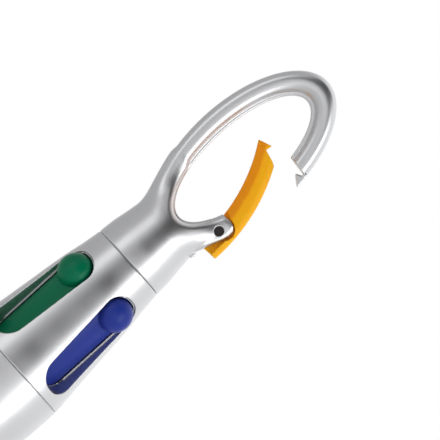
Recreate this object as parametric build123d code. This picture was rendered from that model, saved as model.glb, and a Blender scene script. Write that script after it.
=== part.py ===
from build123d import *
import math
import os

os.makedirs("parts", exist_ok=True)

# Four-colour click pen with a carabiner loop. Millimetres, +Z along the pen, tip down.
# The origin is the point inside the loop's top that a hook or cord bears on.
# Heights named below with a *_Z suffix are measured in that frame.

# ---- main sizes ----
CAP_SEAM_Z = -37.4  # seam between the cap and the upper barrel
BARREL_SEAM_Z = CAP_SEAM_Z - 24.0  # seam between the upper and lower barrel
NOSE_SEAM_Z = CAP_SEAM_Z - 86.0  # seam between the lower barrel and the nose cone
NOSE_END_Z = CAP_SEAM_Z - 98.1  # writing end
COLOURS = {"green": 225, "blue": 315, "red": 135, "black": 45}  # slider azimuth, degrees

# ---- upper barrel: height below the cap seam and outer radius ----
UPPER_PROFILE = [
    (0.0, 6.6),
    (3.1, 6.98),
    (6.2, 7.5),
    (9.3, 7.89),
    (12.4, 8.22),
    (15.5, 8.57),
    (18.6, 8.93),
    (21.7, 9.35),
    (24.0, 9.6),
]
UPPER_BORE = 5.6
UPPER_WALL = 1.4
LINER_HALF = 4.3  # half width of the block around each slot
SLOT_TOP = 3.8  # below the cap seam
SLOT_END = 22.3
SLOT_HALF = 3.28
SLOT_CORNER = 2.95
SLOT_FLOOR_R = 6.85
HOLE_TOP = 4.0
HOLE_END = 22.1
HOLE_HALF = 3.08
HOLE_CORNER = 2.75
UNDERRUN_R = 6.78  # room for the coloured strip below the slot

# ---- lower barrel and nose ----
LOWER_OUTER = [
    (24.0, 9.6),
    (28.0, 9.58),
    (36.0, 9.15),
    (46.0, 8.25),
    (56.0, 7.3),
    (66.0, 6.5),
    (76.0, 5.9),
    (86.0, 4.9),
]
LOWER_INNER = [(24.0, 7.85), (35.5, 7.85), (50.5, 6.4), (60.0, 5.6), (70.0, 4.9), (81.8, 4.2), (86.0, 4.2)]
NOSE_OUTER = [(86.0, 4.9), (90.0, 4.25), (94.5, 3.35), (98.1, 2.6)]
NOSE_INNER = [(98.1, 2.05), (96.9, 2.05), (93.5, 2.62), (89.5, 3.02), (86.0, 3.3), (82.0, 3.3)]
NOSE_SPIGOT_R = 4.16

# ---- coupling sleeve, spring plate and centre core ----
SLEEVE_OUTER = [(23.0, 7.77), (34.0, 7.77), (38.0, 6.3), (50.0, 6.3)]
SLEEVE_INNER = [(50.0, 5.45), (37.0, 5.45), (35.2, 6.9), (23.0, 6.9)]
PLATE_TOP = 48.0
PLATE_R = 5.45
PLATE_THICK = 2.0
PLATE_HOLE_R = 1.42
PLATE_HOLE_AT = 2.83
CORE_TOP = 3.0
CORE_END = 36.0
CORE_POST_R = 1.2
CORE_FIN_R = 5.4
CORE_FIN_THICK = 0.7

# ---- sliders ----
STRIP_HALF = 2.95
STRIP_OUTER_R = 6.6
STRIP_INNER_R = 5.9
STRIP_TOP = 6.6
STRIP_END = 23.0
STEM_HALF = 1.1
STEM_INNER_R = 2.3
STEM_TOP = 3.1
HEAD_END = 5.0  # the stem is narrower above here, beside the cap
BUTTON_R = 2.9
BUTTON_AT = 7.05
BUTTON_BASE_R = 6.9
BUTTON_PEAK_R = 9.15
SOCKET_R = 1.9
SOCKET_BORE = 1.33
SOCKET_TOP = 20.4
SOCKET_ROOF = 21.4
SOCKET_END = 26.4

# ---- refills ----
REFILL_AT = 3.4  # distance of each refill's top from the pen axis
REFILL_PIVOT = 24.0  # below the cap seam
REFILL_TILT = 1.81  # degrees, tip towards the axis: each refill leans on its own side of the nose bore
REFILL_R = 1.15
REFILL_BORE = 0.8
REFILL_TOP = 2.4  # above its pivot
TUBE_END = 53.4  # below its pivot, as are the next three
INK_TOP = 8.0
TIP_PROFILE = [(54.4, 1.15), (57.6, 0.8), (58.8, 0.8), (60.8, 0.48), (63.6, 0.45), (64.2, 0.4)]
BALL_AT = 64.05
BALL_R = 0.35

# ---- springs ----
SPRING_R = 1.6
SPRING_WIRE = 0.36
SPRING_TOP = 2.65  # below the refill's pivot
SPRING_TILT = 1.32  # degrees, so that its foot is centred on the plate's hole
SPRING_TURNS = 9

# ---- cap and loop ----
CAP_PROFILE = [(0.0, 6.6), (3.1, 6.4), (6.2, 5.94), (7.75, 5.8)]  # height above the seam, radius
CAP_BLEND = [  # height above the seam, half width, half depth
    (7.75, 5.8, 5.8),
    (9.0, 6.02, 5.3),
    (10.3, 6.4, 4.5),
    (12.2, 6.98, 3.3),
    (14.0, 7.5, 2.4),
    (15.6, 7.95, 2.1),
]
CAP_SPIGOT_R = 5.55
CAP_SPIGOT_LONG = 3.0
CAP_CAVITY_R = 4.4
CAP_CAVITY_TOP = 5.0
LOOP_Z = -13.2
LOOP_OUTER = (9.0, 17.6)  # semi axes
LOOP_INNER_Z = -13.4
LOOP_INNER = (5.75, 13.9)
RIM = (5.27, 13.4)
LOOP_HALF_DEPTH = 2.1
RIM_HALF_DEPTH = 1.0
LOOP_EDGE = 1.5  # rounding of the bar's outer edges

# ---- gate and hinge ----
HINGE = (5.81, -23.76)
PIN_R = 0.775
PIN_HALF = 1.75
GATE_HOLE_R = 0.83
GATE_HALF_DEPTH = 2.0
TONGUE_HALF = 0.76
EAR_GAP_HALF = 0.85
GATE_OPEN = 22.0  # degrees open in the stored pose
GATE_MORE = 15.0  # how much further it opens
GATE_INNER_ARC = (-21.7, -15.13, 27.75)  # centre x, centre z, radius, gate shut
GATE_OUTER_ARC = (-20.46, -16.07, 30.07)
GATE_BAND = 1.35  # width of the thinner inner band
GATE_BAND_HALF = 1.05
EAR_CLEARANCE = 0.12
EAR_OUTLINE = [
    (5.75, -28.4),
    (6.55, -26.25),
    (7.25, -24.3),
    (7.5, -23.1),
    (7.35, -22.2),
    (6.75, -21.65),
    (5.9, -21.4),
    (4.93, -21.56),
    (3.0, -21.3),
    (2.0, -28.4),
]
SWEEP_STEPS = 6


def below(depth):
    """Height in the part frame of a point this far below the cap seam."""
    return CAP_SEAM_Z - depth


def revolved(points):
    """Solid of revolution about Z from (radius, z) points."""
    outline = Polyline([(r, 0, z) for r, z in points], close=True)
    return revolve(make_face(outline), Axis.Z)


def prism(points, low, high):
    """(x, z) outline pushed along Y from low to high."""
    outline = Polyline([(x, low, z) for x, z in points], close=True)
    return extrude(make_face(outline), amount=high - low, dir=(0, 1, 0))


def plate_xz(face, low, high):
    """A face drawn on Plane.XZ coordinates pushed along Y from low to high."""
    placed = Plane((0, low, 0), x_dir=(1, 0, 0), z_dir=(0, -1, 0)) * face
    return extrude(placed, amount=high - low, dir=(0, 1, 0))


def turned(shape, centre, degrees):
    """Turn about the +Y line through centre (x, z)."""
    return shape.rotate(Axis((centre[0], 0, centre[1]), (0, 1, 0)), degrees)


def around(shape, azimuth):
    """Turn a shape built at azimuth 0 to its place round the pen."""
    return shape.rotate(Axis.Z, azimuth)


def save(shape, name):
    shape.label = name
    export_step(shape, f"parts/{name}.step")


def box_between(x0, x1, y0, y1, z0, z1):
    centre = ((x0 + x1) / 2, (y0 + y1) / 2, (z0 + z1) / 2)
    return Pos(*centre) * Box(x1 - x0, y1 - y0, z1 - z0)


def rounded_window(half, top, end, corner, r_from, r_to):
    """Rounded slot, tangential half width by height, cut radially at azimuth 0."""
    face = RectangleRounded(2 * half, end - top, corner)
    where = Plane((r_from, 0, below((top + end) / 2)), x_dir=(0, 1, 0), z_dir=(1, 0, 0))
    return extrude(where * face, amount=r_to - r_from)


# ---------------- upper barrel ----------------
def upper_barrel():
    curve = Spline([(r, 0, below(d)) for d, r in UPPER_PROFILE])
    top_r = UPPER_PROFILE[0][1]
    end_r = UPPER_PROFILE[-1][1]
    inner = Polyline(
        (end_r, 0, below(24.0)), (UPPER_BORE, 0, below(24.0)), (UPPER_BORE, 0, below(0)), (top_r, 0, below(0))
    )
    body = revolve(make_face(Wire([curve, *inner.edges()])), Axis.Z)
    pocket = revolved(
        [(UPPER_BORE - 0.5, below(9.0)), (UPPER_BORE - 0.5, below(23.0))]
        + [(r - UPPER_WALL, below(min(d, 23.0))) for d, r in reversed(UPPER_PROFILE[3:])]
    )
    for azimuth in COLOURS.values():
        liner = box_between(3.0, 12.0, -LINER_HALF, LINER_HALF, below(25.0), below(7.0))
        pocket -= around(liner, azimuth)
    body -= pocket
    body -= revolved([(0, below(23.0)), (7.8, below(23.0)), (7.8, below(25.0)), (0, below(25.0))])
    channel = rounded_window(SLOT_HALF, SLOT_TOP, SLOT_END, SLOT_CORNER, 5.0, 12.0)
    channel -= Pos(0, 0, below(13.0)) * Cylinder(SLOT_FLOOR_R, 30.0)
    hole = rounded_window(HOLE_HALF, HOLE_TOP, HOLE_END, HOLE_CORNER, 4.0, 12.0)
    underrun = box_between(4.0, 8.0, -HOLE_HALF, HOLE_HALF, below(24.5), below(20.0))
    underrun &= Pos(0, 0, below(22.0)) * Cylinder(UNDERRUN_R, 10.0)
    stem_room = box_between(4.0, 6.0, -STEM_HALF - 0.1, STEM_HALF + 0.1, below(6.0), below(3.0))
    for azimuth in COLOURS.values():
        for cutter in (channel, hole, underrun, stem_room):
            body -= around(cutter, azimuth)
    return body


# ---------------- lower barrel, nose, sleeve, plate, core ----------------
def lower_barrel():
    curve = Spline([(r, 0, below(d)) for d, r in LOWER_OUTER])
    inside = [(LOWER_OUTER[-1][1], 0, NOSE_SEAM_Z)] + [(r, 0, below(d)) for d, r in reversed(LOWER_INNER)]
    inside.append((LOWER_OUTER[0][1], 0, BARREL_SEAM_Z))
    walls = Polyline(inside)
    return revolve(make_face(Wire([curve, *walls.edges()])), Axis.Z)


def nose_cone():
    curve = Spline([(r, 0, below(d)) for d, r in NOSE_OUTER])
    inside = [(NOSE_OUTER[-1][1], 0, NOSE_END_Z)] + [(r, 0, below(d)) for d, r in NOSE_INNER]
    inside += [(NOSE_SPIGOT_R, 0, below(82.0)), (NOSE_SPIGOT_R, 0, NOSE_SEAM_Z)]
    inside.append((NOSE_OUTER[0][1], 0, NOSE_SEAM_Z))
    return revolve(make_face(Wire([curve, *Polyline(inside).edges()])), Axis.Z)


def inner_sleeve():
    return revolved([(r, below(d)) for d, r in SLEEVE_OUTER + SLEEVE_INNER])


def spring_plate():
    plate = Pos(0, 0, below(PLATE_TOP + PLATE_THICK / 2)) * Cylinder(PLATE_R, PLATE_THICK)
    drill = Pos(PLATE_HOLE_AT, 0, below(PLATE_TOP + 1)) * Cylinder(PLATE_HOLE_R, 4.0)
    for azimuth in COLOURS.values():
        plate -= around(drill, azimuth)
    return plate


def center_core():
    high = CORE_END - CORE_TOP
    middle = below((CORE_TOP + CORE_END) / 2)
    core = Pos(0, 0, middle) * Cylinder(CORE_POST_R, high)
    for length, width in ((2 * CORE_FIN_R, CORE_FIN_THICK), (CORE_FIN_THICK, 2 * CORE_FIN_R)):
        core += Pos(0, 0, middle) * Box(length, width, high)
    return core & (Pos(0, 0, middle) * Cylinder(CORE_FIN_R, high))


# ---------------- slider ----------------
def slider():
    strip = box_between(STRIP_INNER_R - 0.3, 8.0, -STRIP_HALF, STRIP_HALF, below(STRIP_END), below(STRIP_TOP))
    strip &= Pos(0, 0, below(12.0)) * Cylinder(STRIP_OUTER_R, 30.0)
    strip -= Pos(0, 0, below(12.0)) * Cylinder(STRIP_INNER_R, 30.0)
    stem_low = below(SOCKET_TOP + 0.5)
    stem = box_between(STEM_INNER_R, STRIP_INNER_R + 0.3, -STEM_HALF, STEM_HALF, stem_low, below(HEAD_END))
    head = box_between(STEM_INNER_R, 5.3, -STEM_HALF, STEM_HALF, below(HEAD_END + 0.2), below(STEM_TOP))
    socket_mid = below((SOCKET_TOP + SOCKET_END) / 2)
    socket = Pos(REFILL_AT, 0, socket_mid) * Cylinder(SOCKET_R, SOCKET_END - SOCKET_TOP)
    bore_mid = below((SOCKET_ROOF + SOCKET_END + 1) / 2)
    bore = Pos(REFILL_AT, 0, bore_mid) * Cylinder(SOCKET_BORE, SOCKET_END + 1 - SOCKET_ROOF)
    body = strip + stem + head + socket - bore
    rise = BUTTON_PEAK_R - BUTTON_BASE_R
    base = extrude(
        Plane((6.2, 0, below(BUTTON_AT)), x_dir=(0, 1, 0), z_dir=(1, 0, 0)) * Circle(BUTTON_R),
        amount=BUTTON_BASE_R - 6.2,
    )
    ball_r = (BUTTON_R**2 + rise**2) / (2 * rise)
    half_way = math.radians(45)
    shoulder = (ball_r * math.sin(half_way), rise - ball_r + ball_r * math.cos(half_way))
    arc = ThreePointArc((BUTTON_R, 0), shoulder, (0, rise))
    side = Polyline((0, rise), (0, 0), (BUTTON_R, 0))
    profile = make_face(Wire([arc.edge(), *side.edges()]))
    dome = revolve(profile, Axis.Y)
    dome = dome.rotate(Axis.Z, -90)
    dome = Pos(BUTTON_BASE_R, 0, below(BUTTON_AT)) * dome
    return body + base + dome


# ---------------- refill and spring, built upright at azimuth 0 then leant ----------------
def tilted(shape, lean=REFILL_TILT):
    placed = Pos(REFILL_AT, 0, below(REFILL_PIVOT)) * shape
    return placed.rotate(Axis((REFILL_AT, 0, below(REFILL_PIVOT)), (0, 1, 0)), lean)


def refill_tube():
    middle = (REFILL_TOP - TUBE_END) / 2
    long = REFILL_TOP + TUBE_END
    return tilted(Pos(0, 0, middle) * (Cylinder(REFILL_R, long) - Cylinder(REFILL_BORE, long + 1)))


def refill_ink():
    long = TUBE_END - INK_TOP
    return tilted(Pos(0, 0, -(TUBE_END + INK_TOP) / 2) * Cylinder(REFILL_BORE, long))


def refill_tip():
    side = [(r, -d) for d, r in TIP_PROFILE]
    tip = revolved([(0, -TUBE_END), (REFILL_R, -TUBE_END), *side, (0, -TIP_PROFILE[-1][0])])
    tip -= Pos(0, 0, -BALL_AT) * Sphere(BALL_R + 0.02)
    return tilted(tip)


def refill_ball():
    return tilted(Pos(0, 0, -BALL_AT) * Sphere(BALL_R))


def spring():
    top = below(REFILL_PIVOT + SPRING_TOP)
    foot = below(PLATE_TOP) + SPRING_WIRE / 2 + 0.04
    high = top - foot - SPRING_WIRE / 2
    path = Helix(pitch=high / SPRING_TURNS, height=high, radius=SPRING_R)
    start = path @ 0
    heading = path % 0
    wire = sweep(Plane(origin=start, z_dir=heading) * Circle(SPRING_WIRE / 2), path=path, is_frenet=True)
    return tilted(Pos(-0.03, 0, foot - below(REFILL_PIVOT)) * wire, SPRING_TILT)


# ---------------- cap with the loop ----------------
def ellipse_prism(centre_z, semi, low, high):
    return plate_xz(Pos(0, centre_z) * Ellipse(*semi), low, high)


def top_cap():
    curve = Spline([(r, 0, CAP_SEAM_Z + h) for h, r in CAP_PROFILE])
    blend_z = CAP_SEAM_Z + CAP_PROFILE[-1][0]
    inside = Polyline(
        (CAP_PROFILE[-1][1], 0, blend_z),
        (0, 0, blend_z),
        (0, 0, CAP_SEAM_Z - CAP_SPIGOT_LONG),
        (CAP_SPIGOT_R, 0, CAP_SEAM_Z - CAP_SPIGOT_LONG),
        (CAP_SPIGOT_R, 0, CAP_SEAM_Z),
        (CAP_PROFILE[0][1], 0, CAP_SEAM_Z),
    )
    cap = revolve(make_face(Wire([curve, *inside.edges()])), Axis.Z)
    cap -= Pos(0, 0, CAP_SEAM_Z + (CAP_CAVITY_TOP - CAP_SPIGOT_LONG + 1) / 2) * Cylinder(
        CAP_CAVITY_R, CAP_CAVITY_TOP + CAP_SPIGOT_LONG - 1
    )
    sections = [Pos(0, 0, CAP_SEAM_Z + h) * Ellipse(a, b) for h, a, b in CAP_BLEND]
    cap += loft(sections)
    ring = ellipse_prism(LOOP_Z, LOOP_OUTER, -LOOP_HALF_DEPTH, LOOP_HALF_DEPTH)
    ring = fillet(ring.edges(), LOOP_EDGE)
    cap += ring
    cap -= ellipse_prism(LOOP_INNER_Z, RIM, -12, 12)
    for low, high in ((RIM_HALF_DEPTH, 12), (-12, -RIM_HALF_DEPTH)):
        cap -= ellipse_prism(LOOP_INNER_Z, LOOP_INNER, low, high)
    # the gap that the gate shuts, from the hooked loop end down to the hinge ears
    ear = EAR_OUTLINE[:9]
    gap = [(3.5, -7.7), (8.05, -8.05), (12.0, -8.05), (12.0, -30.5), (7.0, -30.5), (6.12, -29.1)]
    gap += ear
    cap -= prism(gap, -12, 12)
    barb = [(8.0, -7.9), (8.55, -7.9), (8.78, -9.1), (8.88, -10.15), (7.13, -8.95), (8.05, -8.45)]
    cap += prism(barb, -1.7, 1.7)
    cap += prism([(4.6, -29.7), (5.95, -29.7), (6.15, -29.1), (5.8, -28.4), (4.6, -28.3)], -1.6, 1.6)
    slot = [(3.0, -20.0), (9.5, -20.0), (9.5, -28.1), (4.3, -28.1), (4.3, -25.0), (3.7, -24.0)]
    cap -= prism(slot, -EAR_GAP_HALF, EAR_GAP_HALF)
    cap -= pin_bore(PIN_R, 12)
    return cap


def pin_bore(radius, half):
    where = Plane((HINGE[0], -half, HINGE[1]), x_dir=(1, 0, 0), z_dir=(0, 1, 0))
    return extrude(where * Circle(radius), amount=2 * half)


# ---------------- gate, drawn shut and then opened ----------------
def arc_x(arc, z):
    """Where an arc (centre x, centre z, radius) crosses height z, on its right."""
    return arc[0] + math.sqrt(arc[2] ** 2 - (z - arc[1]) ** 2)


def ring_cut(arc, points):
    """Revolve (radius, y) points about the Y line through an arc's centre."""
    placed = [(arc[0] + r, y, arc[1]) for r, y in points]
    face = make_face(Polyline(placed, close=True))
    return revolve(face, Axis((arc[0], 0, arc[1]), (0, 1, 0)))


def gate():
    inner_top = (arc_x(GATE_INNER_ARC, -8.25), -8.25)
    inner_mid = (arc_x(GATE_INNER_ARC, -15.0), -15.0)
    inner_low = (arc_x(GATE_INNER_ARC, -22.6), -22.6)
    outer_top = (arc_x(GATE_OUTER_ARC, -11.0), -11.0)
    outer_mid = (arc_x(GATE_OUTER_ARC, -19.0), -19.0)
    outer_low = (arc_x(GATE_OUTER_ARC, -27.8), -27.8)
    inner = ThreePointArc(*[(x, z) for x, z in (inner_top, inner_mid, inner_low)])
    tail = Polyline(inner_low, (4.8, -24.2), (4.75, -27.1), outer_low)
    outer = ThreePointArc(*[(x, z) for x, z in (outer_low, outer_mid, outer_top)])
    nose = Polyline(outer_top, (8.62, -10.45), (6.92, -9.25), (7.46, -8.32), inner_top)
    face = make_face(Wire([inner.edge(), *tail.edges(), outer.edge(), *nose.edges()]))
    body = plate_xz(face, -GATE_HALF_DEPTH, GATE_HALF_DEPTH)
    r_in = GATE_INNER_ARC[2]
    r_out = GATE_OUTER_ARC[2]
    deep = GATE_HALF_DEPTH + 0.5
    for side in (-1, 1):
        bevel_end = GATE_HALF_DEPTH + 0.02
        slope = (GATE_HALF_DEPTH - GATE_BAND_HALF) / GATE_BAND
        far = r_in + GATE_BAND + (bevel_end - GATE_HALF_DEPTH) / slope
        band = [
            (r_in - 1.0, side * (GATE_BAND_HALF - slope)),
            (far, side * bevel_end),
            (far, side * deep),
            (r_in - 1.0, side * deep),
        ]
        body -= ring_cut(GATE_INNER_ARC, band)
        worn = side * (GATE_HALF_DEPTH - 0.85)
        edge = [
            (r_out - 0.75, side * GATE_HALF_DEPTH),
            (r_out + 0.05, worn),
            (r_out + 1.0, worn),
            (r_out + 1.0, side * deep),
            (r_out - 0.75, side * deep),
        ]
        body -= ring_cut(GATE_OUTER_ARC, edge)
    # room for the ears at every angle of the gate
    ear_face = make_face(Polyline([(x, z) for x, z in EAR_OUTLINE], close=True))
    ear_face = offset(ear_face, EAR_CLEARANCE)
    for step in range(SWEEP_STEPS + 1):
        angle = (GATE_OPEN + GATE_MORE) * step / SWEEP_STEPS
        for low, high in ((TONGUE_HALF, 4.0), (-4.0, -TONGUE_HALF)):
            ear = plate_xz(ear_face, low, high)
            body -= turned(ear, HINGE, angle)
    body -= pin_bore(GATE_HOLE_R, 6)
    return turned(body, HINGE, -GATE_OPEN)


def hinge_pin():
    return pin_bore(PIN_R, PIN_HALF)


# ---------------- write the pieces ----------------
save(top_cap(), "top_cap")
save(upper_barrel(), "upper_barrel")
save(lower_barrel(), "lower_barrel")
save(nose_cone(), "nose_cone")
save(inner_sleeve(), "inner_sleeve")
save(spring_plate(), "spring_plate")
save(center_core(), "center_core")
save(hinge_pin(), "hinge_pin")
save(gate(), "gate")
one_slider = slider()
one_spring = spring()
refill_pieces = {"tube": refill_tube(), "ink": refill_ink(), "tip": refill_tip(), "ball": refill_ball()}
for colour, azimuth in COLOURS.items():
    save(around(one_slider, azimuth), f"slider_{colour}")
    save(around(one_spring, azimuth), f"spring_{colour}")
    for piece, shape in refill_pieces.items():
        save(around(shape, azimuth), f"refill_{piece}_{colour}")
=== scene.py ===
import math

import bpy
import numpy as np
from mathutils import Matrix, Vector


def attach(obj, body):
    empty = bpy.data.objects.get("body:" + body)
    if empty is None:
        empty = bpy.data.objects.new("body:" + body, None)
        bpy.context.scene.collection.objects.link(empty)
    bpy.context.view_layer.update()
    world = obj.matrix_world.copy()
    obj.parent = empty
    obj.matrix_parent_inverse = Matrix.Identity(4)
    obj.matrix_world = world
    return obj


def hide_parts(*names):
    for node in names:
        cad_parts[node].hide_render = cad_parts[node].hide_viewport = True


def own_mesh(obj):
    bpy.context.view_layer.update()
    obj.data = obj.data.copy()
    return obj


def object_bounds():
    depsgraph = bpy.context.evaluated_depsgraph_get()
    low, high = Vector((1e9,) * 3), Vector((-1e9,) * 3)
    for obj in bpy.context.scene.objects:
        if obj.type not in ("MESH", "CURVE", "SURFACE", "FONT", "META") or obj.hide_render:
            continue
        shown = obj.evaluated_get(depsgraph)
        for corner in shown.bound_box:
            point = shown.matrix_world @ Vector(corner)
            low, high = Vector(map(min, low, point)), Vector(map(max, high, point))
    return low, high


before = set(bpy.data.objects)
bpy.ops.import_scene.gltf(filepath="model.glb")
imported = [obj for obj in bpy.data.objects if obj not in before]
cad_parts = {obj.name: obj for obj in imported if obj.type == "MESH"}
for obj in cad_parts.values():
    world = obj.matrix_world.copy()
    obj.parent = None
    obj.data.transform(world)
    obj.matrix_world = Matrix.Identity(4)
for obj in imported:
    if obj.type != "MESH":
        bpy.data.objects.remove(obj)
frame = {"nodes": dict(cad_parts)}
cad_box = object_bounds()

import openvdb
from mathutils import Matrix, Vector

MM = 0.001
CAP_SEAM = -37.4
BARREL_SEAM = CAP_SEAM - 24.0
NOSE_SEAM = CAP_SEAM - 86.0
NOSE_END = CAP_SEAM - 98.1
COLOURS = {"green": 225, "blue": 315, "red": 135, "black": 45}  # azimuth of each slide, degrees
HINGE = (5.81, -23.76)
GATE_OPEN = math.radians(22.0)
GATE_MORE = math.radians(15.0)
EAR = [
    (5.75, -28.4), (6.55, -26.25), (7.25, -24.3), (7.5, -23.1), (7.35, -22.2),
    (6.75, -21.65), (5.9, -21.4), (4.93, -21.56), (3.0, -21.3), (2.0, -28.4),
]
RIM = (-13.4, 5.27, 13.4)
LOOP_INNER = (-13.4, 5.75, 13.9)
LOOP_OUTER = (-13.2, 9.0, 17.6)
LOOP_DEPTH = 2.1
RIM_DEPTH = 1.0
EAR_GAP = 0.85  # half width of the slot that the gate's tongue turns in
TONGUE = 0.76
PIN_R = 0.775
EAR_CLEARANCE = 0.2

# slots: half width, top and end below the cap seam, corner
CHANNEL = (3.28, 3.8, 22.3, 2.95)
HOLE = (3.08, 4.0, 22.1, 2.75)
CHANNEL_FLOOR = 6.85
UNDERRUN = 6.78
BORE = 5.6

# slide: the strip, the stem that carries it and the round button
STRIP_HALF = 2.95
STRIP_R = (5.9, 6.6)
STRIP_SPAN = (6.6, 23.0)
STEM_HALF = 1.1
REFILL_AT = 3.4
BUTTON_AT = 7.05
BUTTON_R = 2.9
DOME_CENTRE = 6.156
DOME_R = 2.994


# ---------------- distance fields, in millimetres ----------------
def smax(a, b, k):
    h = np.maximum(k - np.abs(a - b), 0.0) / k
    return np.maximum(a, b) + h * h * k * 0.25


def smin(a, b, k):
    return -smax(-a, -b, k)


def curve(points, samples=400):
    """Smooth table through (position, value) points, for np.interp."""
    t = np.array([p[0] for p in points], float)
    v = np.array([p[1] for p in points], float)
    slope = np.gradient(v, t)
    grid = np.linspace(t[0], t[-1], samples)
    i = np.clip(np.searchsorted(t, grid, side="right") - 1, 0, len(t) - 2)
    w = t[i + 1] - t[i]
    s = (grid - t[i]) / w
    h00 = 2 * s**3 - 3 * s**2 + 1
    h10 = s**3 - 2 * s**2 + s
    h01 = -2 * s**3 + 3 * s**2
    h11 = s**3 - s**2
    return grid, h00 * v[i] + h10 * w * slope[i] + h01 * v[i + 1] + h11 * w * slope[i + 1]


def ellipse(x, z, shape):
    """About the distance to an ellipse (centre z, half width, half height)."""
    centre, a, c = shape
    g = np.sqrt((x / a) ** 2 + ((z - centre) / c) ** 2) + 1e-6
    steep = np.sqrt((x / a**2) ** 2 + ((z - centre) / c**2) ** 2) + 1e-6
    return (g - 1.0) * g / steep


def polygon(x, z, points):
    """Signed distance to a closed outline of (x, z) points, negative inside."""
    best = None
    inside = None
    for (ax, az), (bx, bz) in zip(points, points[1:] + points[:1]):
        ex, ez = bx - ax, bz - az
        px, pz = x - ax, z - az
        t = np.clip((px * ex + pz * ez) / (ex * ex + ez * ez), 0.0, 1.0)
        d = (px - ex * t) ** 2 + (pz - ez * t) ** 2
        best = d if best is None else np.minimum(best, d)
        crosses = (az > z) != (bz > z)
        run = ax + ex * (z - az) / (ez if abs(ez) > 1e-9 else 1e-9)
        hit = crosses & (x < run)
        inside = hit if inside is None else inside ^ hit
    return np.where(inside, -1.0, 1.0) * np.sqrt(best)


def rounded_window(t, z, half, top, end, corner):
    mid = CAP_SEAM - (top + end) / 2
    qx = np.abs(t) - half + corner
    qz = np.abs(z - mid) - (end - top) / 2 + corner
    outside = np.sqrt(np.maximum(qx, 0) ** 2 + np.maximum(qz, 0) ** 2)
    return outside + np.minimum(np.maximum(qx, qz), 0) - corner


def span(value, low, high):
    return np.maximum(low - value, value - high)


def turned(x, z, angle):
    """Coordinates of (x, z) after a turn by angle about the hinge, +Y axis."""
    dx, dz = x - HINGE[0], z - HINGE[1]
    c, s = math.cos(angle), math.sin(angle)
    return HINGE[0] + dx * c + dz * s, HINGE[1] - dx * s + dz * c


def mesh_field(name, field, low, high, step):
    """Closed mesh of where field is zero, with vertices drawn on to the surface."""
    axes = [np.arange(a, b + step, step) for a, b in zip(low, high)]
    x, y, z = np.meshgrid(*axes, indexing="ij", sparse=True)
    values = np.clip(field(x, y, z), -3 * step, 3 * step).astype(np.float32)
    grid = openvdb.FloatGrid(3 * step)
    grid.copyFromArray(np.array(np.broadcast_to(values, [len(a) for a in axes]), dtype=np.float32))
    points, quads = grid.convertToQuads(0.0)
    points = points.astype(float) * step + np.array([a[0] for a in axes])

    def gradient(p):
        eps = 0.02
        out = np.empty_like(p)
        for k in range(3):
            d = np.zeros(3)
            d[k] = eps
            out[:, k] = (field(*(p + d).T) - field(*(p - d).T)) / (2 * eps)
        return out

    for _ in range(3):
        g = gradient(points)
        f = np.clip(field(*points.T), -0.4 * step, 0.4 * step)
        points -= g * (f / np.maximum((g * g).sum(1), 0.2))[:, None]
    normals = gradient(points)
    normals /= np.linalg.norm(normals, axis=1)[:, None] + 1e-9
    mesh = bpy.data.meshes.new(name)
    mesh.from_pydata((points * MM).tolist(), [], quads.tolist())
    mesh.update()
    mesh.shade_smooth()
    mesh.normals_split_custom_set_from_vertices(normals.tolist())
    obj = bpy.data.objects.new(name, mesh)
    bpy.context.scene.collection.objects.link(obj)
    return obj


# ---------------- cap with the loop ----------------
WIDTH = curve([
    (-3.2, 6.6), (0.0, 6.6), (1.55, 6.52), (3.1, 6.38), (4.65, 6.15), (6.2, 5.94), (7.75, 5.82), (9.0, 6.02),
    (10.3, 6.4), (12.2, 6.98), (14.0, 7.5), (15.6, 7.95), (18.0, 8.45),
])
DEPTH = curve([
    (-3.2, 6.6), (0.0, 6.6), (1.55, 6.52), (3.1, 6.38), (4.65, 6.13), (6.2, 5.85), (7.75, 5.5), (9.0, 5.05),
    (10.3, 4.4), (12.2, 3.3), (14.0, 2.5), (15.6, 2.1), (18.0, 2.0),
])
GAP = [
    (3.5, -7.7), (8.05, -8.05), (12.0, -8.05), (12.0, -30.5), (7.0, -30.5), (6.12, -29.1), *EAR[:9],
]
BARB = [(8.0, -7.7), (8.55, -7.7), (8.80, -9.1), (8.86, -10.15), (7.13, -8.95), (8.05, -8.45)]
NUB = [(4.6, -29.7), (5.95, -29.7), (6.15, -29.1), (5.8, -28.4), (4.6, -28.3)]
EAR_SLOT = [(3.0, -20.0), (9.5, -20.0), (9.5, -28.1), (4.3, -28.1), (4.3, -25.0), (3.7, -24.0)]


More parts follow.
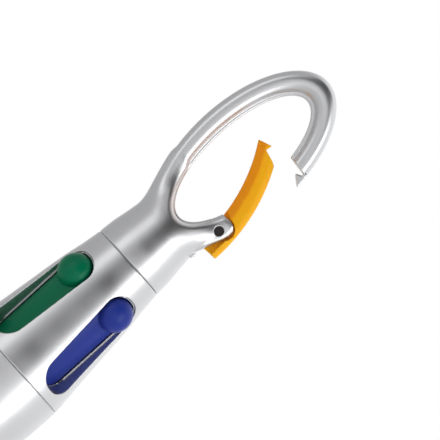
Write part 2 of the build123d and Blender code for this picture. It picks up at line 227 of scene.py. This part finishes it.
def cap_field(x, y, z):
    h = z - CAP_SEAM
    a = np.interp(h, *WIDTH)
    b = np.interp(h, *DEPTH)
    g = np.sqrt((x / a) ** 2 + (y / b) ** 2) + 1e-6
    steep = np.sqrt((x / a**2) ** 2 + (y / b**2) ** 2) + 1e-6
    body = smax((g - 1.0) * g / steep, h - 17.0, 1.0)
    body = smax(body, -h, 0.25)
    inner = ellipse(x, z, LOOP_INNER)
    outer = ellipse(x, z, LOOP_OUTER)
    body = smax(body, -inner, 0.9)
    half = np.maximum((inner - outer) / 2, 0.4)
    across = np.abs(inner + outer) / 2
    bar = ((across / half) ** 2.4 + (np.abs(y) / LOOP_DEPTH) ** 2.4) ** (1 / 2.4) - 1.0
    bar = bar * np.minimum(half, LOOP_DEPTH)
    solid = smin(body, bar, 1.0)
    rim = smax(np.abs(y) - RIM_DEPTH, smax(-ellipse(x, z, RIM), inner - 0.5, 0.15), 0.3)
    solid = smin(solid, rim, 0.2)
    solid = smax(solid, -polygon(x, z, GAP), 0.15)
    ear = smax(smax(polygon(x, z, EAR), -inner, 0.3), np.abs(y) - LOOP_DEPTH, 0.9)
    solid = smin(solid, ear, 0.25)
    for outline, deep in ((BARB, 1.7), (NUB, 1.6)):
        solid = np.minimum(solid, smax(polygon(x, z, outline), np.abs(y) - deep, 0.2))
    r = np.sqrt(x * x + y * y)
    spigot = np.maximum(r - 5.55, span(z, CAP_SEAM - 3.0, CAP_SEAM + 1.0))
    solid = np.minimum(solid, spigot)
    cavity = np.maximum(r - 4.4, span(z, CAP_SEAM - 4.0, CAP_SEAM + 4.0))
    solid = np.maximum(solid, -cavity)
    solid = np.maximum(solid, -np.maximum(polygon(x, z, EAR_SLOT), np.abs(y) - EAR_GAP))
    bore = np.sqrt((x - HINGE[0]) ** 2 + (z - HINGE[1]) ** 2) - PIN_R
    return smax(solid, -bore, 0.14)


# ---------------- upper barrel ----------------
UPPER = curve([
    (0.0, 6.6), (3.1, 6.98), (6.2, 7.5), (9.3, 7.89), (12.4, 8.22),
    (15.5, 8.57), (18.6, 8.93), (21.7, 9.35), (24.0, 9.6),
])


def barrel_field(x, y, z):
    depth = CAP_SEAM - z
    r = np.sqrt(x * x + y * y)
    solid = (r - np.interp(depth, *UPPER)) * 0.99
    solid = smax(solid, span(depth, 0.0, 24.0), 0.25)
    solid = np.maximum(solid, BORE - r)
    solid = np.maximum(solid, -np.maximum(r - 7.8, 23.0 - depth))
    for azimuth in COLOURS.values():
        c, s = math.cos(math.radians(azimuth)), math.sin(math.radians(azimuth))
        out, t = x * c + y * s, y * c - x * s
        channel = np.maximum(rounded_window(t, z, *CHANNEL), np.maximum(CHANNEL_FLOOR - r, -out))
        hole = np.maximum(rounded_window(t, z, *HOLE), 4.0 - out)
        under = np.maximum(np.maximum(np.abs(t) - HOLE[0], r - UNDERRUN), np.maximum(20.0 - depth, 4.0 - out))
        solid = smax(solid, -channel, 0.22)
        solid = np.maximum(solid, -hole)
        solid = np.maximum(solid, -under)
    return solid


# ---------------- slide with its button, at azimuth 0 ----------------
def slide_field(x, y, z):
    depth = CAP_SEAM - z
    r = np.sqrt(x * x + y * y)
    side = np.abs(y)
    strip = np.maximum(side - STRIP_HALF, span(r, *STRIP_R))
    strip = smax(strip, np.maximum(span(depth, *STRIP_SPAN), -x), 0.12)
    stem = np.maximum(np.maximum(side - STEM_HALF, span(x, 2.3, 6.2)), span(depth, 5.0, 20.9))
    head = np.maximum(np.maximum(side - STEM_HALF, span(x, 2.3, 5.3)), span(depth, 3.1, 5.2))
    post = np.sqrt((x - REFILL_AT) ** 2 + y * y)
    socket = np.maximum(post - 1.9, span(depth, 20.4, 26.4))
    solid = np.minimum(np.minimum(strip, stem), np.minimum(head, socket))
    solid = np.maximum(solid, -np.maximum(post - 1.33, 21.4 - depth))
    across = np.sqrt(y * y + (depth - BUTTON_AT) ** 2)
    dome = np.sqrt((x - DOME_CENTRE) ** 2 + across**2) - DOME_R
    button = smax(smax(dome, across - BUTTON_R, 0.3), 6.2 - x, 0.1)
    return smin(solid, button, 0.1)


# ---------------- gate, described shut ----------------
GATE_IN = (-21.7, -15.13, 27.75)
GATE_OUT = (-20.46, -16.07, 30.07)


def arc_points(arc, z_from, z_to, count):
    heights = np.linspace(z_from, z_to, count)
    return [(arc[0] + math.sqrt(arc[2] ** 2 - (z - arc[1]) ** 2), z) for z in heights]


GATE = [
    *arc_points(GATE_IN, -8.25, -22.6, 12), (4.8, -24.2), (4.75, -27.1),
    *arc_points(GATE_OUT, -27.8, -11.0, 16), (8.62, -10.45), (6.92, -9.25), (7.46, -8.32),
]


def gate_field(x, y, z):
    x, z = turned(x, z, GATE_OPEN)
    side = np.abs(y)
    inward = np.sqrt((x - GATE_IN[0]) ** 2 + (z - GATE_IN[1]) ** 2) - GATE_IN[2]
    outward = np.sqrt((x - GATE_OUT[0]) ** 2 + (z - GATE_OUT[1]) ** 2) - GATE_OUT[2]
    share = np.clip(inward / 1.35, 0.0, 1.0)
    thick = 1.1 + 0.88 * share
    solid = smax(polygon(x, z, GATE), (side - thick) * 0.85, 0.25)
    solid = smax(solid, smax(outward, side - 1.98, 1.5), 0.1)
    sweep = None
    for step in range(7):
        ex, ez = turned(x, z, -(GATE_OPEN + GATE_MORE) * step / 6)
        d = polygon(ex, ez, EAR) - EAR_CLEARANCE
        sweep = d if sweep is None else np.minimum(sweep, d)
    solid = smax(solid, -np.maximum(sweep, TONGUE - side), 0.08)
    bore = np.sqrt((x - HINGE[0]) ** 2 + (z - HINGE[1]) ** 2) - 0.83
    return np.maximum(solid, -bore)


# ---------------- lathe and coil ----------------
def lathe(name, profile, segments=160):
    """Surface of revolution from (radius, z) points of a closed outline."""
    turns = np.linspace(0, 2 * math.pi, segments, endpoint=False)
    verts = [(r * math.cos(t) * MM, r * math.sin(t) * MM, z * MM) for r, z in profile for t in turns]
    count = len(profile)
    faces = []
    for i in range(count):
        j = (i + 1) % count
        for k in range(segments):
            n = (k + 1) % segments
            faces.append((i * segments + k, i * segments + n, j * segments + n, j * segments + k))
    mesh = bpy.data.meshes.new(name)
    mesh.from_pydata(verts, [], faces)
    mesh.update()
    mesh.shade_smooth()
    mesh.set_sharp_from_angle(angle=math.radians(28))
    obj = bpy.data.objects.new(name, mesh)
    bpy.context.scene.collection.objects.link(obj)
    return obj


def coil(name, azimuth):
    """Return spring round one refill, its foot on the spring plate."""
    turns, around, ring = 9, 28, 10
    wire, radius, aside = 0.18, 1.6, -0.03
    top, foot = -26.83, -47.78
    tilt = math.radians(1.32)
    steps = turns * around
    angle = np.linspace(0, 2 * math.pi * turns, steps + 1)
    drop = np.linspace(0, 1, steps + 1) * (foot - top) + top
    section = np.linspace(0, 2 * math.pi, ring, endpoint=False)
    rad = radius + wire * np.cos(section)[None, :]
    u = rad * np.cos(angle)[:, None] + aside
    v = rad * np.sin(angle)[:, None]
    w = drop[:, None] + wire * np.sin(section)[None, :] + 24.0
    x = REFILL_AT + u * math.cos(tilt) + w * math.sin(tilt)
    z = CAP_SEAM - 24.0 - u * math.sin(tilt) + w * math.cos(tilt)
    a = math.radians(azimuth)
    c, s = math.cos(a), math.sin(a)
    points = np.stack([x * c - v * s, x * s + v * c, z], -1).reshape(-1, 3)
    faces = []
    for i in range(steps):
        for k in range(ring):
            n = (k + 1) % ring
            faces.append((i * ring + k, (i + 1) * ring + k, (i + 1) * ring + n, i * ring + n))
    faces.append(tuple(range(ring)))
    faces.append(tuple(steps * ring + k for k in reversed(range(ring))))
    mesh = bpy.data.meshes.new(name)
    mesh.from_pydata((points * MM).tolist(), [], faces)
    mesh.update()
    mesh.shade_smooth()
    obj = bpy.data.objects.new(name, mesh)
    bpy.context.scene.collection.objects.link(obj)
    return obj


# ---------------- materials ----------------
FINE_GRAIN = 9000.0  # noise cells per metre
BROAD_GRAIN = 260.0
UNEVEN = 0.04  # how far roughness wanders


def material(
    name, colour, metallic=0.0, roughness=0.4, coat=0.0, bump=0.0, subsurface=0.0, specular=0.5
):
    """Principled material with uneven roughness and, if bump is set, a fine grain."""
    mat = bpy.data.materials.new(name)
    mat.use_nodes = True
    nodes, links = mat.node_tree.nodes, mat.node_tree.links
    bsdf = nodes["Principled BSDF"]
    bsdf.inputs["Base Color"].default_value = (*colour, 1)
    bsdf.inputs["Metallic"].default_value = metallic
    bsdf.inputs["Coat Weight"].default_value = coat
    bsdf.inputs["Specular IOR Level"].default_value = specular
    bsdf.inputs["Coat Roughness"].default_value = 0.06
    if subsurface:
        bsdf.inputs["Subsurface Weight"].default_value = subsurface
        bsdf.inputs["Subsurface Radius"].default_value = (1.0, 0.45, 0.12)
        bsdf.inputs["Subsurface Scale"].default_value = 0.0012
    where = nodes.new("ShaderNodeTexCoord")
    fine = nodes.new("ShaderNodeTexNoise")
    fine.inputs["Scale"].default_value = FINE_GRAIN
    fine.inputs["Detail"].default_value = 2.0
    links.new(where.outputs["Object"], fine.inputs["Vector"])
    broad = nodes.new("ShaderNodeTexNoise")
    broad.inputs["Scale"].default_value = BROAD_GRAIN
    broad.inputs["Detail"].default_value = 3.0
    links.new(where.outputs["Object"], broad.inputs["Vector"])
    rough = nodes.new("ShaderNodeMapRange")
    rough.inputs["To Min"].default_value = roughness - UNEVEN
    rough.inputs["To Max"].default_value = roughness + UNEVEN
    links.new(broad.outputs["Fac"], rough.inputs["Value"])
    links.new(rough.outputs["Result"], bsdf.inputs["Roughness"])
    if bump:
        relief = nodes.new("ShaderNodeBump")
        relief.inputs["Strength"].default_value = bump
        relief.inputs["Distance"].default_value = 0.00002
        links.new(fine.outputs["Fac"], relief.inputs["Height"])
        links.new(relief.outputs["Normal"], bsdf.inputs["Normal"])
    return mat


silver = material("satin_silver", (0.645, 0.648, 0.656), metallic=0.95, roughness=0.33, bump=0.12)
nickel = material("nickel_tip", (0.80, 0.79, 0.78), metallic=1.0, roughness=0.16, bump=0.02)
white = material("white_inner", (0.80, 0.80, 0.78), roughness=0.45, bump=0.05)
pin_mat = material("dark_pin", (0.035, 0.03, 0.03), metallic=0.6, roughness=0.42, bump=0.1)
orange = material(
    "orange_plastic", (0.98, 0.47, 0.003), roughness=0.42, bump=0.04, subsurface=0.3, specular=0.15
)
steel = material("spring_steel", (0.62, 0.62, 0.64), metallic=1.0, roughness=0.24, bump=0.05)
tube_mat = material("refill_tube", (0.74, 0.76, 0.76), roughness=0.38, bump=0.03)
brass = material("brass_tip", (0.80, 0.58, 0.24), metallic=1.0, roughness=0.24, bump=0.05)
ball_mat = material("ball_steel", (0.7, 0.7, 0.72), metallic=1.0, roughness=0.12)
SLIDE_COLOUR = {
    "green": (0.0, 0.165, 0.075),
    "blue": (0.022, 0.042, 0.29),
    "red": (0.42, 0.012, 0.018),
    "black": (0.012, 0.012, 0.013),
}
slide_mat = {
    c: material(f"{c}_plastic", v, roughness=0.33, coat=0.03, bump=0.03, specular=0.14)
    for c, v in SLIDE_COLOUR.items()
}


def painted_shade_band(mat, centre, near, far, painted_shade_colour, own_colour):
    """Painted shade: a darker colour near the Y line through centre (x, z), blending to the plain colour
    farther out, in millimetres.
    """
    nodes, links = mat.node_tree.nodes, mat.node_tree.links
    where = nodes.new("ShaderNodeTexCoord")
    flat = nodes.new("ShaderNodeVectorMath")
    flat.operation = "MULTIPLY"
    flat.inputs[1].default_value = (1, 0, 1)
    links.new(where.outputs["Object"], flat.inputs[0])
    away = nodes.new("ShaderNodeVectorMath")
    away.operation = "DISTANCE"
    away.inputs[1].default_value = (centre[0] * MM, 0, centre[1] * MM)
    links.new(flat.outputs[0], away.inputs[0])
    share = nodes.new("ShaderNodeMapRange")
    share.interpolation_type = "SMOOTHSTEP"
    share.inputs["From Min"].default_value = near * MM
    share.inputs["From Max"].default_value = far * MM
    links.new(away.outputs["Value"], share.inputs["Value"])
    blend = nodes.new("ShaderNodeMix")
    blend.data_type = "RGBA"
    colours = [socket for socket in blend.inputs if socket.type == "RGBA"]
    colours[0].default_value = (*painted_shade_colour, 1)
    colours[1].default_value = (*own_colour, 1)
    links.new(share.outputs["Result"], blend.inputs[0])
    mixed = [socket for socket in blend.outputs if socket.type == "RGBA"][0]
    links.new(mixed, nodes["Principled BSDF"].inputs["Base Color"])


GATE_CENTRE = turned(GATE_IN[0], GATE_IN[1], -GATE_OPEN)  # of its inner arc, as it stands open
# painted shade: the gate's inner band, out to 0.9 mm from its inner arc, gets a darker, redder orange that
# stands in for the shade on its inward bevel and tongue, fading to the plain orange by 1.9 mm
painted_shade_band(orange, GATE_CENTRE, GATE_IN[2] + 0.9, GATE_IN[2] + 1.9, (1.0, 0.34, 0.003), (1.0, 0.47, 0.006))
ink_mat = {c: material(f"{c}_ink", v, roughness=0.25, coat=0.3) for c, v in SLIDE_COLOUR.items()}


def dress(obj, mat):
    obj.data.materials.clear()
    obj.data.materials.append(mat)


# ---------------- pieces ----------------
def place(obj, body, slot, mat, *nodes):
    dress(obj, mat)
    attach(obj, body)
    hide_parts(*nodes)
    return obj


fine = 1.0
cap = mesh_field("cap_and_loop", cap_field, (-9.6, -7.0, -40.8), (9.6, 7.0, 4.8), 0.12 * fine)
place(cap, "pen_body", "silver_shell", silver, "top_cap")
barrel = mesh_field("slotted_barrel", barrel_field, (-10.0, -10.0, -61.8), (10.0, 10.0, -37.0), 0.13 * fine)
place(barrel, "pen_body", "silver_shell", silver, "upper_barrel")
gate = mesh_field("loop_gate", gate_field, (-1.6, -2.4, -29.0), (10.0, 2.4, -8.0), 0.12 * fine)
place(gate, "gate", "orange_gate", orange, "gate")

lower_out = curve([
    (24.0, 9.6), (28.0, 9.58), (36.0, 9.15), (46.0, 8.25), (56.0, 7.3), (66.0, 6.5),
    (76.0, 5.9), (86.0, 4.9),
], 90)
lower_in = [(24.0, 7.85), (35.5, 7.85), (50.5, 6.4), (60.0, 5.6), (70.0, 4.9), (81.8, 4.2), (86.0, 4.2)]
outline = [(9.48, BARREL_SEAM)] + [(r, CAP_SEAM - d) for d, r in zip(*lower_out)][:-1]
outline[1] = (outline[1][0], BARREL_SEAM - 0.12)
outline += [(4.9, NOSE_SEAM + 0.12), (4.78, NOSE_SEAM)] + [(r, CAP_SEAM - d) for d, r in reversed(lower_in)]
outline.reverse()
place(lathe("lower_barrel_shell", outline), "pen_body", "silver_shell", silver, "lower_barrel")

nose_out = curve([(86.0, 4.9), (90.0, 4.25), (94.5, 3.35), (98.1, 2.6)], 40)
nose_in = [(98.1, 2.05), (96.9, 2.05), (93.5, 2.62), (89.5, 3.02), (86.0, 3.3), (82.0, 3.3)]
outline = [(4.16, CAP_SEAM - 82.0), (4.16, NOSE_SEAM), (4.78, NOSE_SEAM), (4.88, NOSE_SEAM - 0.12)]
outline += [(r, CAP_SEAM - d) for d, r in zip(*nose_out)][1:-1]
outline += [(2.6, NOSE_END + 0.25), (2.4, NOSE_END)] + [(r, CAP_SEAM - d) for d, r in nose_in]
outline.reverse()
place(lathe("nose_tip_cone", outline), "pen_body", "chromed_tip", nickel, "nose_cone")

slide_shape = mesh_field("slide_shape", slide_field, (1.0, -3.4, -64.4), (9.5, 3.4, -40.0), 0.13 * fine)
for colour, azimuth in COLOURS.items():
    slide = bpy.data.objects.new(f"slide_button_{colour}", slide_shape.data.copy())
    bpy.context.scene.collection.objects.link(slide)
    turn = math.radians(azimuth)
    c, s = math.cos(turn), math.sin(turn)
    coords = np.empty(len(slide.data.vertices) * 3)
    slide.data.vertices.foreach_get("co", coords)
    coords = coords.reshape(-1, 3) @ np.array([[c, s, 0], [-s, c, 0], [0, 0, 1]])
    normals = np.array([v.vector[:] for v in slide_shape.data.vertex_normals])
    slide.data.vertices.foreach_set("co", coords.ravel())
    slide.data.update()
    normals = normals @ np.array([[c, s, 0], [-s, c, 0], [0, 0, 1]])
    slide.data.normals_split_custom_set_from_vertices(normals.tolist())
    place(slide, f"slide_{colour}", f"{colour}_slider", slide_mat[colour], f"slider_{colour}")
    spring = coil(f"return_spring_{colour}", azimuth)
    place(spring, "pen_body", "spring_steel", steel, f"spring_{colour}")
    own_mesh(spring)
bpy.data.objects.remove(slide_shape)

nodes = frame["nodes"]
for node in ("inner_sleeve", "spring_plate", "center_core"):
    dress(nodes[node], white)
dress(nodes["hinge_pin"], pin_mat)
for colour in COLOURS:
    dress(nodes[f"refill_tube_{colour}"], tube_mat)
    dress(nodes[f"refill_ink_{colour}"], ink_mat[colour])
    dress(nodes[f"refill_tip_{colour}"], brass)
    dress(nodes[f"refill_ball_{colour}"], ball_mat)

# ---------------- floor, camera, light ----------------
mesh = bpy.data.meshes.new("studio_floor")
half, floor_z = 0.45, cad_box[0][2] - 0.002
corners = [(-half, -half, floor_z), (half, -half, floor_z), (half, half, floor_z), (-half, half, floor_z)]
mesh.from_pydata(corners, [], [(0, 1, 2, 3)])
floor = bpy.data.objects.new("studio_floor", mesh)
bpy.context.scene.collection.objects.link(floor)
dress(floor, material("pale_floor", (0.86, 0.86, 0.86), roughness=0.6))

ROLL = math.radians(42.2)  # the pen's axis above the picture's horizontal
FROM_TIP_SIDE = math.radians(2.2)
DISTANCE = 1.5  # metres
VIEW_WIDTH = 0.0682
AIM = Vector((4.63, 0.0, -22.41)) * MM
back = Vector((0, -math.cos(FROM_TIP_SIDE), -math.sin(FROM_TIP_SIDE)))
along = Vector((0, 0, 1)) - back * back.z
along.normalize()
across = along.cross(back)
right = along * math.cos(ROLL) + across * math.sin(ROLL)
up = back.cross(right)
camera_data = bpy.data.cameras.new("camera")
camera_data.sensor_width = 36.0
camera_data.lens = 36.0 * DISTANCE / VIEW_WIDTH
camera_data.clip_end = 20.0
camera = bpy.data.objects.new("camera", camera_data)
bpy.context.scene.collection.objects.link(camera)
facing = Matrix((right, up, back)).transposed().to_4x4()
camera.matrix_world = Matrix.Translation(AIM + back * DISTANCE) @ facing
bpy.context.scene.camera = camera
bpy.context.scene.view_settings.view_transform = "Standard"

FLAG_CENTRE = 0.08  # this and the next two are in parts of a unit direction
FLAG_EDGES = (0.26, 0.60)
FLAG_HEIGHT = (0.08, 0.22)
FLAG_DARK = 0.99

world = bpy.data.worlds.new("studio")
bpy.context.scene.world = world
world.use_nodes = True
wn, wl = world.node_tree.nodes, world.node_tree.links
wn.clear()


def math_node(kind, a, b=None):
    node = wn.new("ShaderNodeMath")
    node.operation = kind
    for socket, value in zip(node.inputs, (a, b)):
        if value is None:
            continue
        if isinstance(value, (int, float)):
            socket.default_value = value
        else:
            wl.new(value, socket)
    return node.outputs[0]


def smooth_step(value, low, high):
    node = wn.new("ShaderNodeMapRange")
    node.interpolation_type = "SMOOTHSTEP"
    node.inputs["From Min"].default_value = low
    node.inputs["From Max"].default_value = high
    wl.new(value, node.inputs["Value"])
    return node.outputs["Result"]


# a light studio, brighter on the gate's side, with a dark flag above and in front
direction = wn.new("ShaderNodeTexCoord").outputs["Generated"]
split = wn.new("ShaderNodeSeparateXYZ")
wl.new(direction, split.inputs[0])
dx, dy, dz = split.outputs
ramp = wn.new("ShaderNodeValToRGB")
wl.new(math_node("ADD", math_node("MULTIPLY", dx, 0.5), 0.5), ramp.inputs[0])
stops = [(0.0, 0.56), (0.2, 0.52), (0.5, 1.02), (0.75, 1.16), (1.0, 1.0)]
ramp.color_ramp.elements[0].position, ramp.color_ramp.elements[1].position = stops[0][0], stops[-1][0]
for place_at, _ in stops[1:-1]:
    ramp.color_ramp.elements.new(place_at)
for element, (_, level) in zip(ramp.color_ramp.elements, stops):
    element.color = (level, level, level * 1.01, 1)
beside = math_node("ABSOLUTE", math_node("SUBTRACT", dx, FLAG_CENTRE))
narrow = math_node("SUBTRACT", 1.0, smooth_step(beside, *FLAG_EDGES))
high = smooth_step(dz, *FLAG_HEIGHT)
front = smooth_step(math_node("MULTIPLY", dy, -1.0), -0.1, 0.25)
flag = math_node("MULTIPLY", math_node("MULTIPLY", narrow, high), math_node("MULTIPLY", front, FLAG_DARK))
keep = math_node("SUBTRACT", 1.0, flag)
glow = wn.new("ShaderNodeBackground")
wl.new(ramp.outputs[0], glow.inputs["Color"])
wl.new(keep, glow.inputs["Strength"])
plain = wn.new("ShaderNodeBackground")
plain.inputs["Color"].default_value = (1, 1, 1, 1)
path = wn.new("ShaderNodeLightPath")
mix = wn.new("ShaderNodeMixShader")
wl.new(path.outputs["Is Camera Ray"], mix.inputs[0])
wl.new(glow.outputs[0], mix.inputs[1])
wl.new(plain.outputs[0], mix.inputs[2])
output = wn.new("ShaderNodeOutputWorld")
wl.new(mix.outputs[0], output.inputs[0])


def softbox(name, where, size, watts):
    data = bpy.data.lights.new(name, "AREA")
    data.shape = "RECTANGLE"
    data.size, data.size_y = size
    data.energy = watts
    lamp = bpy.data.objects.new(name, data)
    lamp.location = where
    lamp.rotation_euler = (Vector((0, 0, -0.04)) - Vector(where)).to_track_quat("-Z", "Y").to_euler()
    lamp.visible_camera = False
    bpy.context.scene.collection.objects.link(lamp)


softbox("key_right", (0.55, -0.45, 0.05), (0.35, 0.6), 1.5)
softbox("fill_left", (-0.6, -0.5, 0.1), (0.35, 0.6), 0.6)
